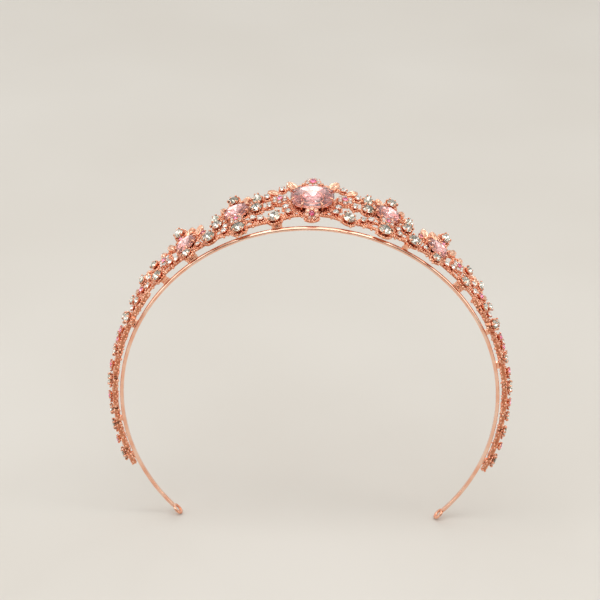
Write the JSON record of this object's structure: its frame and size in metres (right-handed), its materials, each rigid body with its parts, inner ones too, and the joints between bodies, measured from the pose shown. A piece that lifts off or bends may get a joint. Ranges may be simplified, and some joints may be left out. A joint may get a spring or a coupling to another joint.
{
  "type": "bridal tiara",
  "caption": "Rigid bridal tiara: an arched half-round headband with a raised openwork wall of claw-set pink and clear stones, flowers and leaves.",
  "frame": {"origin": "centre of the headband's inner circle, halfway across the headband's width", "axes": "+Z through the top of the arch, +X to the right when the headband's lower edge faces the viewer, +Y the way the jewelled wall rises from the headband"},
  "size_m": [0.1484, 0.0305, 0.1281],
  "materials": {
    "rose_gold_polished": "polished rose-gold plate",
    "rose_gold_cast": "bright cast rose-gold plate",
    "rose_gold_setting": "bright rose-gold plate",
    "rose_gold_leaf": "mirror-polished rose-gold plate",
    "pale_pink_stone": "faceted, foil-backed",
    "deep_pink_stone": "faceted, foil-backed",
    "clear_stone": "faceted, foil-backed"
  },
  "bodies": {
    "root": {"crystal_arch_left": "clear_stone", "crystal_arch_right": "clear_stone", "crystal_drop_left": "clear_stone", "crystal_drop_right": "clear_stone", "crystal_low_left": "clear_stone", "crystal_low_right": "clear_stone", "eyelet_left": "rose_gold_polished", "eyelet_right": "rose_gold_polished", "flower_crystals": "clear_stone", "flower_front": "rose_gold_setting", "flower_hearts": "deep_pink_stone", "flower_low_left": "rose_gold_setting", "flower_low_right": "rose_gold_setting", "flower_outer_left": "rose_gold_setting", "flower_outer_right": "rose_gold_setting", "flower_side_left": "rose_gold_setting", "flower_side_right": "rose_gold_setting", "flower_top": "rose_gold_setting", "headband": "rose_gold_polished", "leaves_left": "rose_gold_leaf", "leaves_right": "rose_gold_leaf", "pink_centre": "pale_pink_stone", "pink_inner_left": "pale_pink_stone", "pink_inner_right": "pale_pink_stone", "pink_outer_left": "pale_pink_stone", "pink_outer_right": "pale_pink_stone", "setting_centre": "rose_gold_setting", "setting_inner_left": "rose_gold_setting", "setting_inner_right": "rose_gold_setting", "setting_outer_left": "rose_gold_setting", "setting_outer_right": "rose_gold_setting", "settings_left": "rose_gold_setting", "settings_right": "rose_gold_setting", "side_crystals_left": "clear_stone", "side_crystals_right": "clear_stone", "small_crystals_left": "clear_stone", "small_crystals_right": "clear_stone", "small_pinks_left": "deep_pink_stone", "small_pinks_right": "deep_pink_stone", "strut_left_1": "rose_gold_polished", "strut_left_2": "rose_gold_polished", "strut_left_3": "rose_gold_polished", "strut_left_4": "rose_gold_polished", "strut_left_5": "rose_gold_polished", "strut_left_6": "rose_gold_polished", "strut_right_1": "rose_gold_polished", "strut_right_2": "rose_gold_polished", "strut_right_3": "rose_gold_polished", "strut_right_4": "rose_gold_polished", "strut_right_5": "rose_gold_polished", "upper_crystals_left": "clear_stone", "upper_crystals_right": "clear_stone", "wall_centre": "rose_gold_cast", "wall_inner_left": "rose_gold_cast", "wall_inner_right": "rose_gold_cast", "wall_outer_left": "rose_gold_cast", "wall_outer_right": "rose_gold_cast", "wall_side_left": "rose_gold_cast", "wall_side_right": "rose_gold_cast"}
  },
  "joints": []
}
